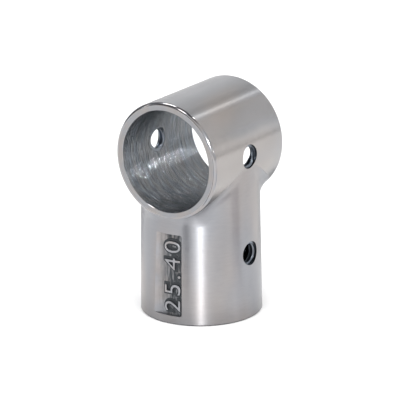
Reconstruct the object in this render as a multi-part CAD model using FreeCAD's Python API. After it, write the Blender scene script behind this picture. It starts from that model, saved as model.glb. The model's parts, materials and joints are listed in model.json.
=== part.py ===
"""Tube clamp tee: a one-piece stainless casting that joins a rail to a post.

A short open barrel takes the rail, and a blind socket below it takes the post.
Both tubes have the same diameter. The axes cross at the origin: the barrel
runs along Y, and the leg with the socket hangs down along -Z. The set screws
go in from the sides, along X.
"""
import FreeCAD, Part
import math
import os

# Driving dimensions, in millimetres and degrees

# Tube that both openings take, and the play round it
tube_diameter = 25.4
bore_clearance = 0.1

# Wall of the barrel, and how far its end faces stand in front of the leg
wall = 2.0
barrel_overhang = 0.05

# Leg: its end below the barrel's axis, and its taper for the mould
leg_reach = 41.3
leg_step = 0.05
leg_draft = 0.78

# Least metal between the rail's bore and the flat end of the socket
web = 2.0

# Rounded edges, and the blend in the crease between barrel and leg
barrel_edge_round = 0.8
leg_edge_break = 0.3
crease_round = 6.0

# Break on the machined mouth of each bore
mouth_break = 0.1

# Set screw holes at the thread's outer diameter, drilled through both walls
screw_diameter = 6.0
leg_screw_height = 16.6

# Recess on the front of the leg: deep on its right side, running out on its left
recess_half_width = 4.15
recess_height = 20.9
recess_base = 2.15
recess_depth = 0.45
recess_floor_slope = 4.5
recess_corner_round = 0.5

# Sizes that follow from them
bore_radius = (tube_diameter + bore_clearance) / 2
barrel_radius = bore_radius + wall
leg_crown_radius = barrel_radius - leg_step
barrel_half = leg_crown_radius + barrel_overhang
past = wall

UP = FreeCAD.Vector(0, 0, 1)
SIDEWAYS = FreeCAD.Vector(1, 0, 0)
ALONG = FreeCAD.Vector(0, 1, 0)


def leg_radius_at(drop):
    """Outer radius of the leg at a depth below the barrel's axis."""
    return leg_crown_radius + (drop - barrel_radius) * math.tan(math.radians(leg_draft))


def rims(solid):
    """Circular edges of a turned solid."""
    return [edge for edge in solid.Edges if isinstance(edge.Curve, Part.Circle)]


def barrel_outside():
    """Outside of the barrel, with both end edges rounded."""
    barrel = Part.makeCylinder(barrel_radius, 2 * barrel_half, -barrel_half * ALONG, ALONG)
    return barrel.makeFillet(barrel_edge_round, rims(barrel))


def leg_outside():
    """Outside of the leg, from the barrel's axis down, with its end edge broken."""
    leg = Part.makeCone(leg_radius_at(leg_reach), leg_radius_at(0), leg_reach, -leg_reach * UP, UP)
    end_edge = min(rims(leg), key=lambda edge: edge.Curve.Center.z)
    return leg.makeChamfer(leg_edge_break, [end_edge])


def lies_in_crease(edge):
    """Whether an edge lies where the leg's surface meets the barrel's."""
    near = leg_step / 2
    span = edge.LastParameter - edge.FirstParameter
    for share in (0.2, 0.5, 0.8):
        point = edge.valueAt(edge.FirstParameter + share * span)
        off_leg = abs(math.hypot(point.x, point.y) - leg_radius_at(-point.z))
        off_axis = math.hypot(point.x, point.z)
        in_barrel_skin = barrel_radius - barrel_edge_round < off_axis < barrel_radius + near
        if off_leg > near or not in_barrel_skin:
            return False
    return True


def body_outside():
    """Barrel and leg as one casting, with the crease between them blended."""
    joined = barrel_outside().fuse(leg_outside()).removeSplitter()
    creases = [edge for edge in joined.Edges if lies_in_crease(edge)]
    return joined.makeFillet(crease_round, creases)


def mouth(centre, outward):
    """Cone that breaks the edge of a bore at its mouth."""
    return Part.makeCone(bore_radius + mouth_break, bore_radius, mouth_break, centre, -outward)


def barrel_bore():
    """Through bore for the rail."""
    reach = barrel_half + past
    bore = Part.makeCylinder(bore_radius, 2 * reach, -reach * ALONG, ALONG)
    return bore.fuse([mouth(side * barrel_half * ALONG, side * ALONG) for side in (-1, 1)])


def socket():
    """Blind bore for the post, with a flat end a web's thickness below the rail's bore."""
    reach = leg_reach + past
    depth = reach - bore_radius - web
    drill = Part.makeCylinder(bore_radius, depth, -reach * UP, UP)
    return drill.fuse(mouth(-leg_reach * UP, -UP))


def screw_drill(height):
    """Drill that goes through both walls along X at a height."""
    reach = leg_radius_at(leg_reach) + past
    start = FreeCAD.Vector(-reach, 0, height)
    return Part.makeCylinder(screw_diameter / 2, 2 * reach, start, SIDEWAYS)


def recess_cutter():
    """Block that cuts the recess: its upright flat floor slopes out to the left."""
    middle = leg_radius_at(leg_reach - recess_base - recess_height / 2)
    skin_at_side = math.sqrt(middle ** 2 - recess_half_width ** 2)
    floor = recess_depth - skin_at_side
    front = -middle - past
    run = (floor - front) / math.tan(math.radians(recess_floor_slope))
    base = recess_base - leg_reach
    corners = [
        FreeCAD.Vector(recess_half_width, floor, base),
        FreeCAD.Vector(recess_half_width, front, base),
        FreeCAD.Vector(recess_half_width - run, front, base),
    ]
    block = Part.Face(Part.makePolygon(corners + corners[:1])).extrude(recess_height * UP)
    side_corners = [
        edge for edge in block.Edges
        if edge.BoundBox.XMin > recess_half_width - recess_depth and edge.BoundBox.ZLength < recess_depth
    ]
    return block.makeFillet(recess_corner_round, side_corners)


def tee_body():
    """The whole casting: its outside, less both bores, the screw holes and the recess."""
    return body_outside().cut([
        barrel_bore(),
        socket(),
        screw_drill(0),
        screw_drill(leg_screw_height - leg_reach),
        recess_cutter(),
    ])


if __name__ == "__main__":
    os.makedirs("parts", exist_ok=True)
    tee_body().exportStep("parts/tee_body.step")
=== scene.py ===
"""Dresses a tube clamp tee: satin skin, turned bores, dark cast recess and threaded set screw holes.

The casting is one piece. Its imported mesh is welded, refined and given true normals here, and each
kind of surface gets its own finish. Threads and the raised size mark are pieces of their own.
"""
from __future__ import annotations

import json
import logging
import math
from dataclasses import dataclass
from enum import Enum
from functools import cache

import bpy
import numpy as np
from mathutils import Matrix, Vector

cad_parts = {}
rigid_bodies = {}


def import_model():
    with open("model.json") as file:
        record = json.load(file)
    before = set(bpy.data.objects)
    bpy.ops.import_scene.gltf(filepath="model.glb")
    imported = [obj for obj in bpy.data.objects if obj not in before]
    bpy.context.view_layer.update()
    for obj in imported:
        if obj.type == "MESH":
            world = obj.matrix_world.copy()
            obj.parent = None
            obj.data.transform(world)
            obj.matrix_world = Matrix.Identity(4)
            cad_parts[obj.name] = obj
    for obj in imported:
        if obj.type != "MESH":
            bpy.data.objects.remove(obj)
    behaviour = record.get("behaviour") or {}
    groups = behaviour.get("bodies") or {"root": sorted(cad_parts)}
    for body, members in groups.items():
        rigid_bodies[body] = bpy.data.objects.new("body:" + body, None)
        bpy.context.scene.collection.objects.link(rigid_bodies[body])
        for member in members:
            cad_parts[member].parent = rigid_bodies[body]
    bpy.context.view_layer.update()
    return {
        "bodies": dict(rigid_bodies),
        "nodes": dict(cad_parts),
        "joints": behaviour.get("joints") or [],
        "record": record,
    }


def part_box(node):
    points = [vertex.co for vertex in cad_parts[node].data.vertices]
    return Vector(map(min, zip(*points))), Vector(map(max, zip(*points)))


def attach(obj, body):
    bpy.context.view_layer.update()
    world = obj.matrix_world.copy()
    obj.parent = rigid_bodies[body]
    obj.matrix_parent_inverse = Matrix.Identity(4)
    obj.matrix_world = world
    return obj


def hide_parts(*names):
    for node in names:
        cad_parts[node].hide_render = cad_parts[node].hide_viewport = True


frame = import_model()

LOG = logging.getLogger("tee")
MM = 0.001
BODY = "root"
NODE = "tee_body"
ALONG_RAIL = (0.0, 1.0, 0.0)
ALONG_POST = (0.0, 0.0, 1.0)

Array = np.ndarray
Triple = tuple[float, float, float]
Piece = bpy.types.Object
Mesh = bpy.types.Mesh
Material = bpy.types.Material
Tree = bpy.types.NodeTree
Socket = bpy.types.NodeSocket


class Zone(Enum):
    """Kinds of surface on the casting, by how each one was made."""

    BARREL = "barrel skin"
    LEG = "leg skin"
    CREASE = "crease blend"
    ROUNDING = "ring rounding"
    RING_FACE = "ring face"
    LEG_END = "leg end"
    END_BREAK = "break on the leg's end edge"
    MOUTH = "mouth break"
    BORE = "rail bore"
    SOCKET = "post socket"
    SCREW_HOLE = "screw hole"
    RECESS = "cast recess"


@dataclass(frozen=True)
class TeeSizes:
    """Sizes of the casting in millimetres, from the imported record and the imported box."""

    bore_radius: float
    screw_radius: float
    leg_screw_z: float
    barrel_radius: float
    barrel_half: float
    leg_end_z: float
    edge_round: float = 0.8
    leg_step: float = 0.05
    leg_draft: float = 0.78

    @classmethod
    def from_frame(cls, packed: dict) -> TeeSizes:
        """Read the sizes that the mounts and the node's box hold.


        Returns:
            The sizes in millimetres.
        """
        mounts = {mount["name"]: mount for mount in packed["record"]["mounts"]}
        low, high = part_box(NODE)
        return cls(
            bore_radius=mounts["barrel_bore"]["dims"]["r_mm"],
            screw_radius=mounts["leg_screw_right"]["dims"]["r_mm"],
            leg_screw_z=mounts["leg_screw_right"]["pos_m"][2] / MM,
            barrel_radius=high.z / MM,
            barrel_half=mounts["barrel_bore"]["dims"]["length_mm"] / 2,
            leg_end_z=low.z / MM,
        )

    @property
    def draft_slope(self) -> float:
        """How much the leg's radius grows for each millimetre downwards."""
        return math.tan(math.radians(self.leg_draft))

    def leg_radius(self, height: Array | float) -> Array | float:
        """Outer radius of the leg at a height z."""
        crown = self.barrel_radius - self.leg_step
        return crown + (-height - self.barrel_radius) * self.draft_slope


SIZES = TeeSizes.from_frame(frame)


def unit(vectors: Array) -> Array:
    """Vectors scaled to length 1, row by row. A vector of no length stays as it is."""
    lengths = np.linalg.norm(vectors, axis=1, keepdims=True)
    return vectors / np.where(lengths > 0.0, lengths, 1.0)


def read_triangles(mesh: Mesh) -> tuple[Array, Array]:
    """Points of a mesh, and three point numbers for each of its triangles."""
    points = np.zeros(len(mesh.vertices) * 3)
    mesh.vertices.foreach_get("co", points)
    mesh.calc_loop_triangles()
    faces = np.zeros(len(mesh.loop_triangles) * 3, int)
    mesh.loop_triangles.foreach_get("vertices", faces)
    return points.reshape(-1, 3), faces.reshape(-1, 3)


def new_object(name: str, data: bpy.types.ID) -> Piece:
    """Object with its data, linked to the scene."""
    piece = bpy.data.objects.new(name, data)
    bpy.context.scene.collection.objects.link(piece)
    return piece


def new_mesh(name: str, points: Array, faces: Array, *materials: Material) -> Mesh:
    """Mesh of given points and faces, with its materials in their order."""
    mesh = bpy.data.meshes.new(name)
    mesh.from_pydata(points.tolist(), [], faces.tolist())
    for material in materials:
        mesh.materials.append(material)
    return mesh


def made_mesh(holder: Piece) -> Mesh:
    """Plain mesh of what an object's text or modifiers make."""
    evaluated = holder.evaluated_get(bpy.context.evaluated_depsgraph_get())
    return bpy.data.meshes.new_from_object(evaluated)


def taken_triangles(holder: Piece) -> tuple[Array, Array]:
    """Points and triangles of what a helper object makes. The helper is removed."""
    mesh = made_mesh(holder)
    points, faces = read_triangles(mesh)
    bpy.data.batch_remove([holder, holder.data, mesh])
    return points, faces


def smooth(mesh: Mesh) -> None:
    """Shade all faces of a mesh smooth."""
    mesh.polygons.foreach_set("use_smooth", [True] * len(mesh.polygons))


@dataclass
class SurfaceMesh:
    """Triangles with one corner set per surface, so that each surface keeps its own normals.

    Attributes:
        points: Place of each corner point in millimetres.
        normals: Normal of each corner point.
        faces: Three point numbers for each triangle.
        zones: Zone of each triangle.
        welded: For each point, the number of its place, shared by points that coincide.
    """

    points: Array
    normals: Array
    faces: Array
    zones: list[Zone]
    welded: Array

    # Cell in millimetres within which points coincide, and sine of the angle that makes an edge sharp
    WELD = 1e-4
    SHARP = 0.17

    def refine(self) -> SurfaceMesh:
        """Split each triangle in four, with the new points on the curved surface.

        Returns:
            The finer mesh.
        """
        corner_pairs = np.concatenate([self.faces[:, pair] for pair in ([0, 1], [1, 2], [2, 0])])
        pairs, pair_of = np.unique(np.sort(corner_pairs, axis=1), axis=0, return_inverse=True)
        pair_of = pair_of.reshape(3, -1).T
        middles = self._middles(pairs)
        a, b, c = self.faces.T
        ab, bc, ca = (len(self.points) + pair_of).T
        faces = np.concatenate([
            np.c_[a, ab, ca], np.c_[ab, b, bc], np.c_[ca, bc, c], np.c_[ab, bc, ca],
        ])
        places = np.sort(self.welded[pairs], axis=1)
        _, place_of = np.unique(places, axis=0, return_inverse=True)
        return SurfaceMesh(
            points=np.concatenate([self.points, middles]),
            normals=np.concatenate([self.normals, unit(self.normals[pairs].sum(axis=1))]),
            faces=faces,
            zones=self.zones * 4,
            welded=np.concatenate([self.welded, self.welded.max() + 1 + place_of.reshape(-1)]),
        )

    def _middles(self, pairs: Array) -> Array:
        """Curved middle of each edge, the same for both surfaces that meet there.

        Args:
            pairs: Two point numbers for each edge of a surface.

        Returns:
            One place for each edge.
        """
        flip = self.welded[pairs[:, 0]] > self.welded[pairs[:, 1]]
        pairs = np.where(flip[:, None], pairs[:, ::-1], pairs)
        _, first, place_of, count = np.unique(
            self.welded[pairs], axis=0, return_index=True, return_inverse=True, return_counts=True)
        place_of = place_of.reshape(-1)
        last = np.zeros(len(first), int)
        last[place_of] = np.arange(len(pairs))
        start, end = self.points[pairs[first]].transpose(1, 0, 2)
        chord = end - start
        tangents = []
        for side in (0, 1):
            one = self.normals[pairs[first, side]]
            two = self.normals[pairs[last, side]]
            along = np.cross(one, two)
            sharp = (np.linalg.norm(along, axis=1) > self.SHARP) & (count > 1)
            mean = unit(one + two)
            level = chord - (chord * mean).sum(axis=1, keepdims=True) * mean
            along *= np.sign((along * chord).sum(axis=1, keepdims=True))
            tangents.append(unit(np.where(sharp[:, None], along, level)))
        # A cubic's middle lies off its chord's middle by an eighth of its end tangents' difference
        bulge = np.linalg.norm(chord, axis=1, keepdims=True) * (tangents[0] - tangents[1]) / 8
        return ((start + end) / 2 + bulge)[place_of]


@dataclass
class Casting:
    """The one-piece casting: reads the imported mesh, sorts its surfaces and dresses them.

    Attributes:
        sizes: Sizes that the surfaces are recognised by.
    """

    sizes: TeeSizes

    # Lengths in millimetres that tell surfaces apart, a share of the barrel's radius, and two cosines
    TOUCH = 0.02
    MORE_THAN_A_BREAK = 0.5
    MORE_THAN_A_MOUTH = 0.2
    WELL_APART = 1.0
    MIDDLE_STRIP = 1 / 3
    SAME_WAY = 0.9
    FACING_FRONT = 0.95

    def packed_surfaces(self) -> SurfaceMesh:
        """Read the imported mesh, whose points aren't shared between surfaces.

        Returns:
            Its triangles with zones and normals.
        """
        points, faces = read_triangles(frame["nodes"][NODE].data)
        points = points / MM
        surface_of = self._connected(len(points), faces)
        grid = np.round(points / SurfaceMesh.WELD).astype(int)
        _, welded = np.unique(grid, axis=0, return_inverse=True)
        a, b, c = points[faces].transpose(1, 0, 2)
        flat = unit(np.cross(b - a, c - a))
        normals = np.zeros_like(points)
        for corner in range(3):
            np.add.at(normals, faces[:, corner], flat)
        normals = unit(normals)
        zone_of = {}
        for surface in np.unique(surface_of):
            of_surface = surface_of == surface
            zone_of[surface] = self.zone(points[of_surface])
            true = self.true_normals(zone_of[surface], points[of_surface])
            if true is not None:
                normals[of_surface] = true
        zones = [zone_of[surface] for surface in surface_of[faces[:, 0]]]
        return SurfaceMesh(points, normals, faces, zones, welded.reshape(-1))

    @staticmethod
    def _connected(count: int, faces: Array) -> Array:
        """Number of the connected surface that each point lies on."""
        label = np.arange(count)
        while True:
            lowest = label[faces].min(axis=1)
            spread = label.copy()
            for corner in range(3):
                np.minimum.at(spread, faces[:, corner], lowest)
            if (spread == label).all():
                return label
            label = spread

    def zone(self, points: Array) -> Zone:
        """Recognise a surface by where its points lie.

        Args:
            points: The surface's points in millimetres.

        Returns:
            The surface's zone.
        """
        size = self.sizes
        x, y, z = points.T
        from_rail = np.hypot(x, z)
        from_post = np.hypot(x, y)
        from_edge = np.hypot(
            from_rail - (size.barrel_radius - size.edge_round),
            np.abs(y) - (size.barrel_half - size.edge_round))
        distances = (
            (Zone.BORE, from_rail - size.bore_radius),
            (Zone.SOCKET, from_post - size.bore_radius),
            (Zone.SOCKET, z + size.barrel_radius),
            (Zone.SCREW_HOLE, np.hypot(y, z) - size.screw_radius),
            (Zone.SCREW_HOLE, np.hypot(y, z - size.leg_screw_z) - size.screw_radius),
            (Zone.RING_FACE, np.abs(y) - size.barrel_half),
            (Zone.BARREL, from_rail - size.barrel_radius),
            (Zone.ROUNDING, from_edge - size.edge_round),
            (Zone.LEG, from_post - size.leg_radius(z)),
            (Zone.LEG_END, z - size.leg_end_z),
        )
        for zone, distance in distances:
            if np.abs(distance).max() < self.TOUCH:
                return zone
        near_bore = size.bore_radius + self.MORE_THAN_A_BREAK
        if z.max() < size.leg_end_z + self.MORE_THAN_A_BREAK:
            return Zone.MOUTH if from_post.max() < near_bore else Zone.END_BREAK
        if np.ptp(from_rail) < self.MORE_THAN_A_MOUTH and from_rail.max() < near_bore:
            return Zone.MOUTH
        in_middle = np.abs(x).max() < size.barrel_radius * self.MIDDLE_STRIP
        in_front = in_middle and y.max() < -size.bore_radius
        below_barrel = z.min() < -size.barrel_radius - self.WELL_APART
        return Zone.RECESS if in_front and below_barrel else Zone.CREASE

    def true_normals(self, zone: Zone, points: Array) -> Array | None:
        """Exact normals of the round surfaces.

        Args:
            zone: The surface's zone.
            points: The surface's points in millimetres.

        Returns:
            One normal for each point, or None where the triangles' own normals serve.
        """
        size = self.sizes
        from_rail = unit(points * [1, 0, 1])
        from_post = unit(points * [1, 1, 0])
        if zone is Zone.BARREL:
            return from_rail
        if zone is Zone.BORE:
            return -from_rail
        if zone is Zone.SOCKET and np.ptp(points[:, 2]) > self.WELL_APART:
            return -from_post
        if zone is Zone.LEG:
            return unit(from_post + [0, 0, size.draft_slope])
        if zone is Zone.ROUNDING:
            middle = from_rail * (size.barrel_radius - size.edge_round)
            middle[:, 1] = np.sign(points[:, 1]) * (size.barrel_half - size.edge_round)
            return unit(points - middle)
        if zone is Zone.SCREW_HOLE:
            height = 0.0 if points[:, 2].max() > 0.0 else size.leg_screw_z
            return unit((np.array([0, 0, height]) - points) * [0, 1, 1])
        return None

    def recess_floor(self) -> tuple[float, float]:
        """Line of the recess's floor: its y at x = 0, and how y changes with x, in millimetres."""
        surfaces = self.packed_surfaces()
        of_recess = np.array([zone is Zone.RECESS for zone in surfaces.zones])
        corners = surfaces.faces[of_recess]
        facing = np.abs(surfaces.normals[corners][:, :, 1]).min(axis=1) > self.FACING_FRONT
        x, y, _ = surfaces.points[np.unique(corners[facing])].T
        slope, offset = np.polyfit(x, y, 1)
        return float(offset), float(slope)

    def smooth_creases(self, mesh: SurfaceMesh) -> None:
        """Take the crease blend's normals at its borders from the skins that it runs into.

        Args:
            mesh: The casting's surfaces, whose normals are changed.
        """
        zones = np.array([zone.name for zone in mesh.zones])
        skins = [Zone.BARREL.name, Zone.LEG.name, Zone.ROUNDING.name]
        skin = np.unique(mesh.faces[np.isin(zones, skins)])
        blend = np.unique(mesh.faces[zones == Zone.CREASE.name])
        by_place = {mesh.welded[point]: mesh.normals[point] for point in skin}
        for point in blend:
            normal = by_place.get(mesh.welded[point])
            if normal is not None and normal @ mesh.normals[point] > self.SAME_WAY:
                mesh.normals[point] = normal

    def build(self, finishes: dict[Zone, Material]) -> Piece:
        """Make the dressed casting.

        Args:
            finishes: The material of each zone.

        Returns:
            The casting's object, which stands for its node.
        """
        surfaces = self.packed_surfaces()
        self.smooth_creases(surfaces)
        surfaces = surfaces.refine()
        places = np.zeros((surfaces.welded.max() + 1, 3))
        places[surfaces.welded] = surfaces.points * MM
        materials = list(dict.fromkeys(finishes.values()))
        mesh = new_mesh("tee_casting", places, surfaces.welded[surfaces.faces], *materials)
        numbers = [materials.index(finishes[zone]) for zone in surfaces.zones]
        mesh.polygons.foreach_set("material_index", numbers)
        smooth(mesh)
        mesh.normals_split_custom_set(surfaces.normals[surfaces.faces].reshape(-1, 3).tolist())
        mesh.update()
        casting = new_object("tee_casting", mesh)
        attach(casting, BODY)
        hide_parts(NODE)
        return casting


class Nodes:
    """A short way to write a node tree."""

    def __init__(self, tree: Tree) -> None:
        """Work on a tree, emptied first."""
        self.tree = tree
        tree.nodes.clear()

    def feed(self, socket: Socket, value: object) -> None:
        """Link an input to an output socket, or give it a plain value."""
        if isinstance(value, Socket):
            self.tree.links.new(value, socket)
        else:
            socket.default_value = value

    def add(self, kind: str, inputs: dict | None = None, **settings: object) -> bpy.types.Node:
        """Add a node, set its options, and link or set its inputs.

        Args:
            kind: The node's type.
            inputs: Values or output sockets by input name or number.
            settings: Options of the node.

        Returns:
            The new node.
        """
        node = self.tree.nodes.new(kind)
        for name, value in settings.items():
            setattr(node, name, value)
        for name, value in (inputs or {}).items():
            self.feed(node.inputs[name], value)
        return node

    def math(self, operation: str, *values: object) -> Socket:
        """Result of a Math node on numbers or sockets."""
        return self.add("ShaderNodeMath", dict(enumerate(values)), operation=operation).outputs[0]

    def vector(self, operation: str, *values: object) -> Socket:
        """Result of a Vector Math node on vectors or sockets."""
        return self.add("ShaderNodeVectorMath", dict(enumerate(values)), operation=operation).outputs[0]

    def combine(self, **parts: object) -> Socket:
        """Vector with some of its parts X, Y and Z given."""
        return self.add("ShaderNodeCombineXYZ", parts).outputs[0]

    def split(self, vector: Socket) -> bpy.types.NodeOutputs:
        """Parts X, Y and Z of a vector."""
        return self.add("ShaderNodeSeparateXYZ", {"Vector": vector}).outputs

    def noise(self, place: Socket, scale: float = 1.0, detail: float = 1.0,
              roughness: float = 0.5) -> Socket:
        """Smooth noise from 0 to 1 by place."""
        return self.add("ShaderNodeTexNoise", {
            "Vector": place, "Scale": scale, "Detail": detail, "Roughness": roughness,
        }).outputs["Fac"]

    def ramp(self, value: Socket, low: object, high: object, start: object = 0.0, end: object = 1.0,
             kind: str = "SMOOTHSTEP") -> Socket:
        """Value mapped from the range low to high onto the range start to end."""
        return self.add("ShaderNodeMapRange", {
            "Value": value, "From Min": low, "From Max": high, "To Min": start, "To Max": end,
        }, interpolation_type=kind).outputs[0]

    def blend(self, share: Socket, low: object, high: object) -> Socket:
        """Colour between two colours, each a triple or a socket, by a share from 0 to 1."""
        node = self.add("ShaderNodeMix", data_type="RGBA")
        for name, value in (("Factor", share), ("A", low), ("B", high)):
            socket = next(s for s in node.inputs if s.name == name and s.enabled)
            self.feed(socket, value if isinstance(value, Socket) else (*value, 1.0))
        return next(s for s in node.outputs if s.enabled)

    def moved(self, geometry: Socket, **inputs: object) -> Socket:
        """Geometry after a Translation, a Rotation or a Scale."""
        return self.add("GeometryNodeTransform", {"Geometry": geometry, **inputs}).outputs[0]


SOCKET_KINDS = {float: "NodeSocketFloat", tuple: "NodeSocketVector"}
ORIGIN = (0.0, 0.0, 0.0)
EVEN = (1.0, 1.0, 1.0)


def open_group(name: str, inputs: dict[str, object]) -> tuple[Nodes, dict[str, Socket]]:
    """Start a shader node group.

    Args:
        name: The group's name.
        inputs: Value that each input starts with, by its name.

    Returns:
        The group's nodes, and its inputs' sockets by name.
    """
    tree = bpy.data.node_groups.new(name, "ShaderNodeTree")
    for label, value in inputs.items():
        socket = tree.interface.new_socket(label, in_out="INPUT", socket_type=SOCKET_KINDS[type(value)])
        socket.default_value = value
    nodes = Nodes(tree)
    given = nodes.add("NodeGroupInput")
    return nodes, {label: given.outputs[label] for label in inputs}


def close_group(nodes: Nodes, outputs: dict[str, Socket]) -> Tree:
    """End a shader node group.

    Args:
        nodes: The group's nodes.
        outputs: Numbers that the group gives, by their names.

    Returns:
        The group.
    """
    for label in outputs:
        nodes.tree.interface.new_socket(label, in_out="OUTPUT", socket_type="NodeSocketFloat")
    nodes.add("NodeGroupOutput", outputs)
    return nodes.tree


@cache
def tool_marks() -> Tree:
    """Group for fine marks of a tool or a belt: a height, and a share that varies with it."""
    nodes, given = open_group("tool_marks", {"Place": ORIGIN, "Fineness": EVEN, "Depth": 1.0})
    scaled = nodes.vector("MULTIPLY", given["Place"], given["Fineness"])
    share = nodes.noise(scaled, detail=3.0, roughness=0.6)
    return close_group(nodes, {"Height": nodes.math("MULTIPLY", share, given["Depth"]), "Share": share})


WARMTH_RANGE = (0.35, 0.65)


@cache
def hand_polish() -> Tree:
    """Group for the slow waves, the cloudy tone and the cast of colour that hand polishing leaves."""
    nodes, given = open_group(
        "hand_polish", {"Place": ORIGIN, "Fineness": EVEN, "Depth": 1.0, "Spread": 0.1})
    scaled = nodes.vector("MULTIPLY", given["Place"], given["Fineness"])
    waves = nodes.noise(scaled)
    clouds = nodes.noise(scaled, scale=2.7, detail=2.0)
    drift = nodes.noise(scaled, scale=1.6)
    centred = nodes.math("SUBTRACT", clouds, 0.5)
    return close_group(nodes, {
        "Height": nodes.math("MULTIPLY", waves, given["Depth"]),
        "Tone": nodes.math("MULTIPLY_ADD", centred, given["Spread"], 1.0),
        "Warmth": nodes.ramp(drift, *WARMTH_RANGE),
    })


RESIDUE_GRAIN = 1400.0
OPEN_SIDE_RAGGEDNESS = 4.0
STREAK_FINENESS = (1500.0, 1500.0, 260.0)
STREAK_RANGE = (0.42, 0.66)


@cache
def dark_residue() -> Tree:
    """Group for the dark cast skin that the polishing wheel doesn't reach, below the leg's skin.

    Its mask is 0 at the depth Clean and 1 at the depth Dark, and it fades out to the left of Open Side.
    """
    nodes, given = open_group("dark_residue", {
        "Place": ORIGIN, "Crown": 1.0, "Slope": 0.0, "Clean": 0.0, "Dark": 1.0,
        "Open Side": 0.0, "Fade": 1.0, "Raggedness": 0.0, "Streaks": 0.0})
    place = nodes.split(given["Place"])
    level = nodes.vector("MULTIPLY", given["Place"], (1.0, 1.0, 0.0))
    out = nodes.add("ShaderNodeVectorMath", {0: level}, operation="LENGTH").outputs["Value"]
    skin = nodes.math("SUBTRACT", given["Crown"], nodes.math("MULTIPLY", place["Z"], given["Slope"]))
    grain = nodes.noise(given["Place"], scale=RESIDUE_GRAIN, detail=3.0)
    ragged = nodes.math("MULTIPLY", nodes.math("SUBTRACT", grain, 0.5), given["Raggedness"])
    depth = nodes.math("ADD", nodes.math("SUBTRACT", skin, out), ragged)
    deep = nodes.ramp(depth, given["Clean"], given["Dark"])
    aside = nodes.math("MULTIPLY_ADD", ragged, OPEN_SIDE_RAGGEDNESS, place["X"])
    closed = nodes.ramp(aside, given["Open Side"], nodes.math("ADD", given["Open Side"], given["Fade"]))
    streaky = nodes.noise(nodes.vector("MULTIPLY", given["Place"], STREAK_FINENESS), detail=3.0)
    wiped = nodes.ramp(streaky, *STREAK_RANGE, end=given["Streaks"])
    kept = nodes.math("SUBTRACT", 1.0, wiped)
    return close_group(nodes, {"Mask": nodes.math("MULTIPLY", nodes.math("MULTIPLY", deep, closed), kept)})


@dataclass(frozen=True)
class Residue:
    """Where dark cast skin stays in the recess, in millimetres below and beside the leg's skin.

    Attributes:
        clean: Depth down to which the polish reaches.
        dark: Depth from which the cast skin is fully dark.
        open_side: X at which the recess is polished right out.
        fade: Width over which the polish runs out.
        raggedness: How far the border wanders.
        streaks: How much of it the wheel took off in streaks along the leg.
        tint: Colour of the dark cast skin.
        roughness: Its roughness.
        metallic: How metallic it is.
    """

    clean: float
    dark: float
    open_side: float = -100.0
    fade: float = 1.0
    raggedness: float = 0.1
    streaks: float = 0.0
    tint: Triple = (0.045, 0.05, 0.055)
    roughness: float = 0.62
    metallic: float = 0.6


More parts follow.
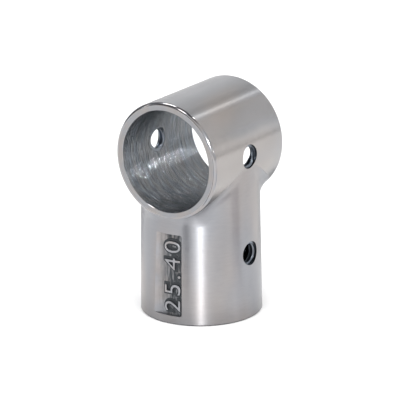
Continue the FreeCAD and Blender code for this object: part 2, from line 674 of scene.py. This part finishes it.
@dataclass(frozen=True)
class Steel:
    """One finish of the stainless casting.

    Attributes:
        name: The material's name.
        tint: Colour of the bare metal.
        roughness: Mean roughness.
        anisotropy: How much a highlight is drawn out along the stretch.
        stretch: Direction in which a highlight is drawn out, or None.
        fineness: Tool marks for each metre along X, Y and Z.
        mark_depth: Height of the tool marks in metres.
        mark_rough: How much the roughness varies with the tool marks.
        mark_tone: How much the tone varies with the tool marks.
        wave_fineness: Slow waves for each metre along X, Y and Z.
        wave_depth: Height of the slow waves in metres.
        tone_spread: How much the tone varies.
        painted_end_shade: Share of the tone taken off towards the leg's end, as painted shade.
        painted_crease_shade: Share of the tone taken off between the barrel's ends and the leg, as painted
            shade.
        residue: Where dark cast skin stays, or None.
    """

    name: str
    tint: Triple
    roughness: float
    anisotropy: float = 0.0
    stretch: Triple | None = None
    fineness: Triple = (300.0, 300.0, 300.0)
    mark_depth: float = 0.0
    mark_rough: float = 0.0
    mark_tone: float = 0.0
    wave_fineness: Triple = (120.0, 120.0, 120.0)
    wave_depth: float = 0.0
    tone_spread: float = 0.06
    painted_end_shade: float = 0.0
    painted_crease_shade: float = 0.0
    residue: Residue | None = None

    # Share that red and blue drift by, then millimetres of the painted shade: up from the leg's end, out
    # along Y and down
    HUE_DRIFT = 0.035
    PAINTED_END_SHADE_REACH = 6.0
    PAINTED_CREASE_REACH = (10.5, 13.2)
    PAINTED_CREASE_DROP = (5.5, 8.5)

    def material(self) -> Material:
        """Build the material.

        Returns:
            The material, with its shader in its own tree.
        """
        material = bpy.data.materials.new(self.name)
        material.use_nodes = True
        nodes = Nodes(material.node_tree)
        place = nodes.add("ShaderNodeTexCoord").outputs["Object"]
        marks = nodes.add("ShaderNodeGroup", {
            "Place": place, "Fineness": self.fineness, "Depth": self.mark_depth,
        }, node_tree=tool_marks()).outputs
        polish = nodes.add("ShaderNodeGroup", {
            "Place": place, "Fineness": self.wave_fineness, "Depth": self.wave_depth,
            "Spread": self.tone_spread,
        }, node_tree=hand_polish()).outputs
        lines = nodes.math("MULTIPLY_ADD", marks["Share"], self.mark_tone, 1.0 - self.mark_tone / 2)
        tone = nodes.math("MULTIPLY", polish["Tone"], lines)
        # Painted shade: the tone darkens towards the leg's end
        if self.painted_end_shade:
            tone = self._paint_shade_at_end(nodes, place, tone)
        # Painted shade: the tone darkens in the creases beside the barrel's ends
        if self.painted_crease_shade:
            tone = self._paint_shade_in_creases(nodes, place, tone)
        hue = nodes.blend(polish["Warmth"], self._tinted(-self.HUE_DRIFT), self._tinted(self.HUE_DRIFT))
        colour = nodes.add("ShaderNodeVectorMath", {0: hue, "Scale": tone}, operation="SCALE").outputs[0]
        uneven = nodes.math("SUBTRACT", marks["Share"], 0.5)
        roughness = nodes.math("MULTIPLY_ADD", uneven, self.mark_rough, self.roughness)
        look = {"Base Color": colour, "Roughness": roughness, "Metallic": 1.0}
        if self.residue:
            look = self._with_residue(nodes, place, look)
        if self.stretch:
            look["Tangent"] = nodes.combine(**dict(zip("XYZ", self.stretch)))
        height = nodes.math("ADD", marks["Height"], polish["Height"])
        bump = nodes.add("ShaderNodeBump", {"Height": height, "Distance": 1.0, "Strength": 1.0})
        shader = nodes.add("ShaderNodeBsdfPrincipled", {
            **look, "Anisotropic": self.anisotropy, "Normal": bump.outputs[0]})
        nodes.add("ShaderNodeOutputMaterial", {"Surface": shader.outputs[0]})
        return material

    def _tinted(self, warmer: float) -> Triple:
        """The metal's tint, made warmer by a share or, below 0, cooler."""
        red, green, blue = self.tint
        return red * (1.0 + warmer), green, blue * (1.0 - warmer)

    def _paint_shade_at_end(self, nodes: Nodes, place: Socket, tone: Socket) -> Socket:
        """Paint shade into the tone over the last millimetres above the leg's end."""
        low = SIZES.leg_end_z * MM
        high = (SIZES.leg_end_z + self.PAINTED_END_SHADE_REACH) * MM
        shade = nodes.ramp(nodes.split(place)["Z"], low, high, start=1.0 - self.painted_end_shade)
        return nodes.math("MULTIPLY", tone, shade)

    def _paint_shade_in_creases(self, nodes: Nodes, place: Socket, tone: Socket) -> Socket:
        """Paint shade into the tone in the narrow corners between the barrel's ends and the leg."""
        parts = nodes.split(place)
        outer = nodes.ramp(nodes.math("ABSOLUTE", parts["Y"]), *(near * MM for near in self.PAINTED_CREASE_REACH))
        under = nodes.ramp(parts["Z"], *(-near * MM for near in self.PAINTED_CREASE_DROP))
        lost = nodes.math("MULTIPLY", nodes.math("MULTIPLY", outer, under), self.painted_crease_shade)
        return nodes.math("MULTIPLY", tone, nodes.math("SUBTRACT", 1.0, lost))

    def _with_residue(self, nodes: Nodes, place: Socket, look: dict[str, object]) -> dict[str, object]:
        """Let the dark cast skin take over the colour, the roughness and the metal.

        Args:
            nodes: The material's nodes.
            place: Place on the object.
            look: The shader's inputs for the polished metal.

        Returns:
            The same inputs, with the dark cast skin.
        """
        left = self.residue
        lengths = {
            "Crown": SIZES.leg_radius(0.0), "Clean": left.clean, "Dark": left.dark,
            "Open Side": left.open_side, "Fade": left.fade, "Raggedness": left.raggedness}
        mask = nodes.add("ShaderNodeGroup", {
            "Place": place, "Slope": SIZES.draft_slope, "Streaks": left.streaks,
            **{name: length * MM for name, length in lengths.items()},
        }, node_tree=dark_residue()).outputs["Mask"]
        mixed = {
            name: nodes.ramp(mask, 0.0, 1.0, look[name], end, kind="LINEAR")
            for name, end in (("Roughness", left.roughness), ("Metallic", left.metallic))}
        return {"Base Color": nodes.blend(mask, look["Base Color"], left.tint), **mixed}


def drawn(across: float, along: float, axis: Triple) -> Triple:
    """Fineness of marks by X, Y and Z, from their fineness across an axis and along it."""
    return tuple(along if part else across for part in axis)


BARREL_TINT = (0.353, 0.345, 0.347)
LEG_TINT = (0.331, 0.323, 0.331)
FACE_TINT = (0.312, 0.305, 0.31)
BORE_TINT = (0.216, 0.231, 0.25)
THREAD_TINT = (0.18, 0.2, 0.23)
DRILLED_TINT = (0.05, 0.056, 0.065)
END_BREAK_SHADE_TINT = (0.15, 0.15, 0.155)

# The barrel's skin darkens in the creases beside its ends: painted shade.
BARREL_SKIN = Steel(
    "satin_barrel", BARREL_TINT, roughness=0.24, anisotropy=0.9, stretch=ALONG_RAIL,
    fineness=drawn(400, 2200, ALONG_RAIL), mark_depth=2e-6, mark_rough=0.13, mark_tone=0.13,
    wave_fineness=drawn(60, 25, ALONG_RAIL), wave_depth=1.2e-4, tone_spread=0.26, painted_crease_shade=0.45)
# The leg's skin darkens towards its end: painted shade.
LEG_SKIN = Steel(
    "satin_leg", LEG_TINT, roughness=0.34, anisotropy=0.85, stretch=ALONG_POST,
    fineness=drawn(400, 2200, ALONG_POST), mark_depth=2e-6, mark_rough=0.2, mark_tone=0.16,
    wave_fineness=drawn(60, 25, ALONG_POST), wave_depth=8e-5, tone_spread=0.26, painted_end_shade=0.16)
POLISHED_RIM = Steel(
    "polished_rim", LEG_TINT, roughness=0.14, wave_fineness=(260, 260, 260), wave_depth=6e-5)
TURNED_FACE = Steel(
    "ground_face", FACE_TINT, roughness=0.40, fineness=(2600, 400, 900), mark_depth=1.5e-6,
    mark_rough=0.1)
TURNED_BORE, TURNED_SOCKET = (
    Steel(
        name, BORE_TINT, roughness=0.13, anisotropy=1.0, stretch=axis, fineness=drawn(40, 2600, axis),
        mark_depth=6e-4, mark_rough=0.15, wave_fineness=drawn(130, 420, axis), wave_depth=1e-6,
        tone_spread=0.7)
    for name, axis in (("turned_bore", ALONG_RAIL), ("turned_socket", ALONG_POST)))
CUT_THREAD = Steel(
    "cut_thread", THREAD_TINT, roughness=0.28, fineness=(2500, 900, 900), mark_depth=4e-6,
    tone_spread=0.5)
DRILLED_WALL = Steel("drilled_wall", DRILLED_TINT, roughness=0.3, tone_spread=0.4)
# Dark tint on the break round the leg's end: painted shade.
SHADED_END_BREAK = Steel("end_break_painted_shade", END_BREAK_SHADE_TINT, roughness=0.4)
CAST_FLOOR = Steel(
    "cast_floor", LEG_TINT, roughness=0.36, fineness=drawn(2300, 160, ALONG_POST), mark_depth=4e-5,
    mark_rough=0.2, tone_spread=0.3,
    residue=Residue(clean=0.08, dark=0.30, open_side=-3.6, fade=5.0, raggedness=0.3, streaks=0.6))
CAST_MARK = Steel(
    "cast_mark", LEG_TINT, roughness=0.36, fineness=(2600, 2600, 2600), mark_depth=8e-6,
    mark_rough=0.2, tone_spread=0.3, residue=Residue(clean=0.10, dark=0.28))


def finish_by_zone() -> dict[Zone, Material]:
    """Material of each zone of the casting."""
    chosen = {
        Zone.BARREL: BARREL_SKIN,
        Zone.LEG: LEG_SKIN,
        Zone.CREASE: LEG_SKIN,
        Zone.ROUNDING: POLISHED_RIM,
        Zone.RING_FACE: TURNED_FACE,
        Zone.LEG_END: TURNED_FACE,
        Zone.END_BREAK: SHADED_END_BREAK,
        Zone.MOUTH: POLISHED_RIM,
        Zone.BORE: TURNED_BORE,
        Zone.SOCKET: TURNED_SOCKET,
        Zone.SCREW_HOLE: DRILLED_WALL,
        Zone.RECESS: CAST_FLOOR,
    }
    made = {steel: steel.material() for steel in dict.fromkeys(chosen.values())}
    return {zone: made[steel] for zone, steel in chosen.items()}


class ThreadTree:
    """Geometry Nodes tree of an inside thread, cut off just under both faces of a round wall.

    The ridge is swept along a right-hand helix about Z, turned to lie along X, and cut with the wall.
    All its lengths are in millimetres, and its last step brings it to metres.
    """

    INPUTS = {
        "Major Radius": 3.0,
        "Minor Radius": 2.5,
        "Pitch": 1.0,
        "Root Width": 0.88,
        "Crest Width": 0.25,
        "Start": 12.0,
        "Length": 3.4,
        "Hole Height": 0.0,
        "Side Turn": 0.0,
        "Wall Tilt": 0.0,
        "Wall Inside": 12.8,
        "Wall Outside Below": 14.7,
        "Wall Outside Above": 14.7,
    }
    # Steps in each turn of the helix, sides of the wall's solids, and their length in millimetres
    STEPS = 72
    WALL_SIDES = 256
    WALL_LENGTH = 16.0

    def __init__(self) -> None:
        """Build the tree."""
        self.tree = bpy.data.node_groups.new("inside_thread", "GeometryNodeTree")
        face = self.tree.interface
        for name, value in self.INPUTS.items():
            face.new_socket(name, in_out="INPUT", socket_type="NodeSocketFloat").default_value = value
        face.new_socket("Finish", in_out="INPUT", socket_type="NodeSocketMaterial")
        face.new_socket("Mesh", in_out="OUTPUT", socket_type="NodeSocketGeometry")
        self.nodes = Nodes(self.tree)
        self.given = self.nodes.add("NodeGroupInput").outputs
        wall = self._tube_solid("Wall Outside Below", "Wall Outside Above")
        hollow = self._tube_solid("Wall Inside", "Wall Inside")
        clear = self.nodes.add("GeometryNodeMeshBoolean", {
            0: self._ridge(), 1: hollow}, operation="DIFFERENCE", solver="EXACT")
        kept = self.nodes.add("GeometryNodeMeshBoolean", operation="INTERSECT", solver="EXACT")
        for part in (clear.outputs["Mesh"], wall):
            self.tree.links.new(part, kept.inputs["Mesh 2"])
        scaled = self.nodes.moved(kept.outputs["Mesh"], Scale=(MM, MM, MM))
        real = self.nodes.add("GeometryNodeRealizeInstances", {"Geometry": scaled})
        dressed = self.nodes.add("GeometryNodeSetMaterial", {
            "Geometry": real.outputs[0], "Material": self.given["Finish"]})
        self.nodes.add("NodeGroupOutput", {"Mesh": dressed.outputs[0]})

    def _ridge(self) -> Socket:
        """Sweep the ridge's section along the helix, and lay it along X at the hole's height."""
        nodes, given = self.nodes, self.given
        helix = nodes.add("GeometryNodeCurveSpiral", {
            "Resolution": self.STEPS,
            "Rotations": nodes.math("DIVIDE", given["Length"], given["Pitch"]),
            "Start Radius": given["Minor Radius"],
            "End Radius": given["Minor Radius"],
            "Height": given["Length"],
        })
        level = nodes.add("GeometryNodeSetCurveNormal", {"Curve": helix.outputs[0]}, mode="Z_UP")
        depth = nodes.math("SUBTRACT", given["Major Radius"], given["Minor Radius"])
        section = nodes.add("GeometryNodeCurvePrimitiveQuadrilateral", {
            "Bottom Width": given["Root Width"], "Top Width": given["Crest Width"], "Height": depth,
            "Offset": 0.0,
        }, mode="TRAPEZOID")
        turned = nodes.moved(
            section.outputs[0], Rotation=(0.0, 0.0, -math.pi / 2),
            Translation=nodes.combine(X=nodes.math("MULTIPLY", depth, -0.5)))
        swept = nodes.add("GeometryNodeCurveToMesh", {
            "Curve": level.outputs[0], "Profile Curve": turned, "Fill Caps": True})
        raised = nodes.moved(swept.outputs[0], Translation=nodes.combine(Z=given["Start"]))
        laid = nodes.moved(raised, Rotation=(0.0, math.pi / 2, 0.0))
        return nodes.moved(
            laid, Translation=nodes.combine(Z=given["Hole Height"]),
            Rotation=nodes.combine(Z=given["Side Turn"]))

    def _tube_solid(self, below: str, above: str) -> Socket:
        """Solid along the wall's tube, centred on the hole.

        Args:
            below: Name of the input that holds its radius at the bottom.
            above: Name of the input that holds its radius at the top.

        Returns:
            The solid.
        """
        nodes, given = self.nodes, self.given
        solid = nodes.add("GeometryNodeMeshCone", {
            "Vertices": self.WALL_SIDES,
            "Radius Top": given[above],
            "Radius Bottom": given[below],
            "Depth": self.WALL_LENGTH,
        })
        centred = nodes.moved(solid.outputs["Mesh"], Translation=(0.0, 0.0, -self.WALL_LENGTH / 2))
        return nodes.moved(
            centred, Translation=nodes.combine(Z=given["Hole Height"]),
            Rotation=nodes.combine(X=given["Wall Tilt"]))


@dataclass
class ScrewThread:
    """One tapped set screw hole's thread. Lengths are in millimetres.

    Attributes:
        name: The piece's name.
        height: Height z of the hole's axis.
        rightwards: Whether the hole is on the right side, at +X.
        through_barrel: Whether the hole goes through the barrel's wall or the leg's.
        sizes: Sizes of the casting.
        depth: How far the ridge stands into the hole.
        inset: How far the ridge stays clear of the wall's inner face.
        lead: Plain length of the hole in front of the ridge.
        sink: How far the ridge's root is sunk in the wall.
        run_in: How far inside the bore the helix starts, before it is cut.
        run_out: How far outside the wall the helix ends, before it is cut.
    """

    name: str
    height: float
    rightwards: bool
    through_barrel: bool
    sizes: TeeSizes
    depth: float = 0.54
    inset: float = 0.08
    lead: float = 0.4
    sink: float = 0.04
    run_in: float = 1.0
    run_out: float = 0.6

    SHARP_ANGLE = math.radians(25)

    def inputs(self) -> dict[str, float]:
        """Values of the tree's inputs that this hole sets."""
        size = self.sizes
        half = ThreadTree.WALL_LENGTH / 2
        if self.through_barrel:
            below = above = size.barrel_radius
        else:
            below, above = size.leg_radius(self.height - half), size.leg_radius(self.height + half)
        return {
            "Major Radius": size.screw_radius + self.sink,
            "Minor Radius": size.screw_radius - self.depth,
            "Start": size.bore_radius - self.run_in,
            "Length": self.run_in + below - size.bore_radius + self.run_out,
            "Hole Height": self.height,
            "Side Turn": 0.0 if self.rightwards else math.pi,
            "Wall Tilt": math.pi / 2 if self.through_barrel else 0.0,
            "Wall Inside": size.bore_radius + self.inset,
            "Wall Outside Below": below - self.lead,
            "Wall Outside Above": above - self.lead,
        }

    def build(self, tree: Tree, finish: Material) -> Piece:
        """Make the thread's piece.

        Args:
            tree: The thread's Geometry Nodes tree.
            finish: Material of the cut thread.

        Returns:
            The piece, a plain mesh.
        """
        piece = new_object(self.name, bpy.data.meshes.new(self.name))
        modifier = piece.modifiers.new("thread", "NODES")
        modifier.node_group = tree
        values = {**self.inputs(), "Finish": finish}
        for item in tree.interface.items_tree:
            if item.item_type == "SOCKET" and item.in_out == "INPUT" and item.name in values:
                modifier[item.identifier] = values[item.name]
        bpy.context.view_layer.update()
        mesh = made_mesh(piece)
        piece.modifiers.clear()
        piece.data = mesh
        smooth(mesh)
        mesh.set_sharp_from_angle(angle=self.SHARP_ANGLE)
        mesh.name = self.name
        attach(piece, BODY)
        return piece


@dataclass
class SizeMark:
    """Raised size mark in the leg's recess, read from below upwards. Lengths are in millimetres.

    Attributes:
        sizes: Sizes of the casting.
        floor_line: The recess floor's y at x = 0, and how it changes with x.
        text: Plain numerals of the tube's size.
        base_x: Side of the numerals' feet.
        start_z: Height of the first numeral's start.
        cap_height: Height of a numeral, across the leg.
        length: Length of the whole mark, along the leg.
        weight: How much the strokes are thickened, as a share of the text size.
        spacing: How far the numerals are set apart, as a share of their usual spacing.
        relief: How far the tops stay under the leg's skin.
        body: Depth of the numerals' bodies, down into the recess's floor.
        skirt_weight: How much the skirt's outline is thickened, as a share of the text size.
        skirt: Thickness of the skirt round the numerals' feet.
        skirt_sink: How much of the skirt is under the recess's floor.
        grain: Size of the mesh's cells, which rounds the edges.
        soft_share: How far each smoothing step moves a point towards its neighbours, from 0 to 1.
        soft_steps: Number of smoothing steps.
    """

    sizes: TeeSizes
    floor_line: tuple[float, float]
    text: str = "25.40"
    base_x: float = 3.75
    start_z: float = -38.0
    cap_height: float = 4.3
    length: float = 18.0
    weight: float = -0.008
    spacing: float = 1.25
    relief: float = 0.04
    body: float = 0.9
    skirt_weight: float = 0.085
    skirt: float = 0.4
    skirt_sink: float = 0.27
    grain: float = 0.08
    soft_share: float = 0.5
    soft_steps: int = 2

    def flat_mark(self, weight: float) -> tuple[Array, Array]:
        """Numerals as a flat solid, in units of the text size and from 0 to 1 thick.

        Args:
            weight: How much the strokes are thickened.

        Returns:
            The points, and three point numbers for each triangle.
        """
        half_thick = 0.5
        text = bpy.data.curves.new("flat_mark", "FONT")
        text.body = self.text
        text.space_character = self.spacing
        text.offset = weight
        text.extrude = half_thick
        points, faces = taken_triangles(new_object("flat_mark", text))
        points[:, 2] += half_thick
        return points, faces

    def cast(self, points: Array, faces: Array) -> tuple[Array, Array]:
        """Round off a sharp solid's edges, as casting does.

        Args:
            points: The solid's points in millimetres.
            faces: Three point numbers for each triangle.

        Returns:
            The rounded solid's points and triangles.
        """
        holder = new_object("sharp_mark", new_mesh("sharp_mark", points, faces))
        cells = holder.modifiers.new("cells", "REMESH")
        cells.mode = "VOXEL"
        cells.voxel_size = self.grain
        soft = holder.modifiers.new("soft", "SMOOTH")
        soft.factor = self.soft_share
        soft.iterations = self.soft_steps
        return taken_triangles(holder)

    def build(self, finish: Material) -> Piece:
        """Make the mark, whose tops follow the leg's skin, and its low skirt on the recess's floor.

        Args:
            finish: Material of the raised mark.

        Returns:
            The piece, a closed mesh.
        """
        numerals, numeral_faces = self.flat_mark(self.weight)
        skirt, skirt_faces = self.flat_mark(self.skirt_weight)
        low, high = numerals.min(axis=0), numerals.max(axis=0)
        scale = np.array([self.length, self.cap_height]) / (high - low)[:2]
        numerals = (numerals - low) * [*scale, self.body]
        skirt = (skirt - low) * [*scale, self.skirt]
        numerals, numeral_faces = self.cast(numerals, numeral_faces)
        skirt, skirt_faces = self.cast(skirt, skirt_faces)
        points = np.concatenate([self.under_skin(numerals), self.on_floor(skirt)])
        faces = np.concatenate([numeral_faces, skirt_faces + len(numerals)])
        mesh = new_mesh("size_mark", points * MM, faces[:, ::-1], finish)
        smooth(mesh)
        piece = new_object("size_mark", mesh)
        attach(piece, BODY)
        return piece

    def under_skin(self, flat: Array) -> Array:
        """Places of the numerals' points, with their tops a little under the leg's skin."""
        along, up, out = flat.T
        x = self.base_x - up
        z = self.start_z + along
        skin = np.sqrt(self.sizes.leg_radius(z) ** 2 - x ** 2)
        return np.c_[x, -(skin - self.relief - self.body + out), z]

    def on_floor(self, flat: Array) -> Array:
        """Places of the skirt's points, sunk for the most part in the recess's floor."""
        along, up, out = flat.T
        x = self.base_x - up
        offset, slope = self.floor_line
        return np.c_[x, offset + slope * x + self.skirt_sink - out, self.start_z + along]


class Shows(Enum):
    """What a lamp or a card shows on."""

    METAL = "mirrored by the metal only"
    FLOOR = "lights the matt floor only"


@dataclass(frozen=True)
class Lamp:
    """A flat soft light or a card, aimed at the origin. Angles are in degrees, lengths in metres.

    Attributes:
        name: Its name.
        azimuth: Direction of its middle, from the front towards the right.
        elevation: Height of its middle above the level.
        width: Its width.
        height: Its height.
        power: Watts, or 0 for a card that gives no light.
        colour: Colour of the light or of the card.
        long_way: Direction that its height follows.
        distance: Distance of its middle from the origin.
        shows: What it shows on.
    """

    name: str
    azimuth: float
    elevation: float
    width: float
    height: float
    power: float = 0.0
    colour: Triple = (1.0, 1.0, 1.0)
    long_way: Triple = ALONG_POST
    distance: float = 1.4
    shows: Shows = Shows.METAL


@dataclass
class Studio:
    """Pale floor, soft lights, grey cards and the camera. Angles are in degrees.

    Attributes:
        floor_z: Height of the floor in metres.
        lamps: The lamps and cards.
        camera_azimuth: Direction of the camera, from the front towards the right.
        camera_elevation: Height of the camera above the level.
        camera_roll: Turn of the camera about its own axis.
        camera_distance: Distance of the camera from the origin in millimetres.
        camera_offset: Shift of the camera to its right and up in millimetres.
        focal_pixels: Focal length in pixels of the picture.
        picture_pixels: Width of the picture in pixels.
        sensor_width: Width of the camera's sensor in millimetres.
        clip: Nearest and farthest distance that the camera shows, in metres.
        air_strength: Strength of the room's even light.
        floor_reach: Half of the floor's width in metres.
        floor_colour: Colour of the floor.
        matt: Roughness of the floor and the cards.
    """

    floor_z: float
    lamps: tuple[Lamp, ...]
    camera_azimuth: float = 35.019
    camera_elevation: float = 17.964
    camera_roll: float = -0.549
    camera_distance: float = 862.674
    camera_offset: tuple[float, float] = (-0.032, -12.988)
    focal_pixels: float = 3524.023
    picture_pixels: float = 400.0
    sensor_width: float = 36.0
    clip: tuple[float, float] = (0.05, 50.0)
    air_strength: float = 0.95
    floor_reach: float = 6.0
    floor_colour: Triple = (0.95, 0.95, 0.95)
    matt: float = 0.9

    @staticmethod
    def direction(azimuth: float, elevation: float) -> Vector:
        """Unit vector from the casting towards a direction given in degrees."""
        a, e = math.radians(azimuth), math.radians(elevation)
        return Vector((math.sin(a) * math.cos(e), -math.cos(a) * math.cos(e), math.sin(e)))

    def camera(self) -> None:
        """Place the scene's camera at the picture's view."""
        back = self.direction(self.camera_azimuth, self.camera_elevation)
        level = (-back).cross(Vector(ALONG_POST)).normalized()
        upright = level.cross(-back)
        turn = math.radians(self.camera_roll)
        right = math.cos(turn) * level + math.sin(turn) * upright
        up = math.cos(turn) * upright - math.sin(turn) * level
        aside, lift = self.camera_offset
        place = (right * aside + up * lift + back * self.camera_distance) * MM
        data = bpy.data.cameras.new("camera")
        data.sensor_width = self.sensor_width
        data.lens = self.focal_pixels * self.sensor_width / self.picture_pixels
        data.clip_start, data.clip_end = self.clip
        camera = new_object("camera", data)
        camera.matrix_world = Matrix.Translation(place) @ Matrix((right, up, back)).transposed().to_4x4()
        bpy.context.scene.camera = camera

    def _sheet(self, name: str, width: float, height: float, colour: Triple) -> Piece:
        """Flat matt rectangle about its own middle, which isn't part of the casting."""
        material = bpy.data.materials.new(name)
        material.use_nodes = True
        shader = material.node_tree.nodes["Principled BSDF"]
        shader.inputs["Base Color"].default_value = (*colour, 1.0)
        shader.inputs["Roughness"].default_value = self.matt
        corners = np.array([(-1, -1, 0), (1, -1, 0), (1, 1, 0), (-1, 1, 0)]) * [width / 2, height / 2, 0]
        sheet = new_object(name, new_mesh(name, corners, np.array([[0, 1, 2, 3]]), material))
        return sheet

    def floor(self) -> None:
        """Lay the pale floor under the casting."""
        width = 2 * self.floor_reach
        self._sheet("floor", width, width, self.floor_colour).location.z = self.floor_z

    def light(self, lamp: Lamp) -> None:
        """Hang one lamp or card. A card shows in reflections only, and leaves the floor evenly lit.

        Args:
            lamp: Where it hangs and how large it is.
        """
        way = self.direction(lamp.azimuth, lamp.elevation)
        long_way = Vector(lamp.long_way)
        long_way = (long_way - way * way.dot(long_way)).normalized()
        turn = Matrix((long_way.cross(way), long_way, way)).transposed().to_4x4()
        if lamp.power > 0:
            data = bpy.data.lights.new(lamp.name, "AREA")
            data.shape = "RECTANGLE"
            data.size = lamp.width
            data.size_y = lamp.height
            data.energy = lamp.power
            data.color = lamp.colour
            piece = new_object(lamp.name, data)
        else:
            piece = self._sheet(lamp.name, lamp.width, lamp.height, lamp.colour)
            piece.visible_shadow = False
        piece.matrix_world = Matrix.Translation(way * lamp.distance) @ turn
        piece.visible_camera = False
        piece.visible_diffuse = lamp.shows is Shows.FLOOR
        piece.visible_glossy = lamp.shows is Shows.METAL

    def air(self) -> None:
        """Fill the room with an even pale light."""
        world = bpy.data.worlds.new("pale_room")
        world.use_nodes = True
        background = world.node_tree.nodes["Background"]
        background.inputs["Color"].default_value = (1.0, 1.0, 1.0, 1.0)
        background.inputs["Strength"].default_value = self.air_strength
        bpy.context.scene.world = world

    def build(self) -> None:
        """Set up the floor, the lights and the camera."""
        self.air()
        self.floor()
        for lamp in self.lamps:
            self.light(lamp)
        self.camera()
        bpy.context.scene.view_settings.view_transform = "Standard"


LAMPS = (
    Lamp("floor_lamp", 34.0, 62.0, 2.2, 2.2, power=22.0, shows=Shows.FLOOR),
    Lamp("camera_lamp", 33.5, 17.0, 0.07, 0.07, power=13.2),
    Lamp("bore_lamp", 157.5, 57.5, 0.05, 0.05, power=1.25),
    Lamp("back_left_lamp", -147.0, 4.0, 0.75, 0.9, power=0.34, long_way=ALONG_RAIL),
    Lamp("back_strip", 142.0, 6.0, 0.24, 0.9, power=0.13, long_way=ALONG_RAIL),
    Lamp("upper_left_lamp", -88.0, 63.0, 0.24, 0.45, power=5.5),
    Lamp("upper_front_lamp", -14.0, 51.0, 0.28, 0.6, power=3.2),
    Lamp("left_front_lamp", -60.0, 20.0, 0.06, 0.25, power=0.7),
    Lamp("thread_lamp", 102.0, 14.0, 0.06, 0.06, power=0.7),
    Lamp("back_card", 153.0, 31.0, 0.72, 1.0, colour=(0.735, 0.705, 0.68), long_way=ALONG_RAIL),
    Lamp("back_slat", 185.0, 38.5, 0.14, 1.0, colour=(0.5, 0.485, 0.47), long_way=ALONG_RAIL),
    Lamp("horizon_slat", 141.0, -1.0, 0.018, 1.2, colour=(0.25, 0.24, 0.23), long_way=ALONG_RAIL),
    Lamp("stripe_card", 11.0, -22.0, 0.012, 0.045, colour=(0.45, 0.45, 0.46), distance=0.06),
    Lamp("right_slat", 97.0, -24.0, 0.015, 0.028, colour=(0.66, 0.65, 0.69), distance=0.06),
    Lamp("right_post_card", 175.0, -22.0, 0.026, 0.04, colour=(0.74, 0.74, 0.74), distance=0.06),
    Lamp("left_slat", -111.0, -22.0, 0.028, 0.04, colour=(0.6, 0.6, 0.62), distance=0.058),
    Lamp("left_post_card", -122.0, -3.0, 0.14, 0.1, colour=(0.4, 0.4, 0.42), distance=0.25),
    Lamp("left_card", -82.0, 23.0, 2.1, 1.6, colour=(0.19, 0.2, 0.22)),
    Lamp("front_card", -34.0, 43.0, 1.1, 1.1, colour=(0.13, 0.13, 0.14), distance=1.5),
    Lamp("front_low_card", -26.0, 13.0, 1.2, 0.45, colour=(0.15, 0.15, 0.15)),
    Lamp("top_card", -50.0, 82.0, 1.6, 1.6, colour=(0.12, 0.12, 0.13)),
)


def main() -> None:
    """Build the casting, its threads, its mark and the studio."""
    logging.basicConfig(level=logging.INFO, format="%(message)s")
    finishes = finish_by_zone()
    tee = Casting(SIZES)
    casting = tee.build(finishes)
    LOG.info("%s: %d triangles", casting.name, len(casting.data.polygons))
    tree = ThreadTree().tree
    cut_thread = CUT_THREAD.material()
    for through_barrel, part, height in ((True, "barrel", 0.0), (False, "leg", SIZES.leg_screw_z)):
        for rightwards, side in ((True, "right"), (False, "left")):
            thread = ScrewThread(f"{part}_thread_{side}", height, rightwards, through_barrel, SIZES)
            piece = thread.build(tree, cut_thread)
            LOG.info("%s: %d faces", piece.name, len(piece.data.polygons))
    mark = SizeMark(SIZES, tee.recess_floor()).build(CAST_MARK.material())
    LOG.info("%s: %d faces", mark.name, len(mark.data.polygons))
    Studio(SIZES.leg_end_z * MM, LAMPS).build()
    bpy.context.view_layer.update()


if __name__ == "__main__":
    main()
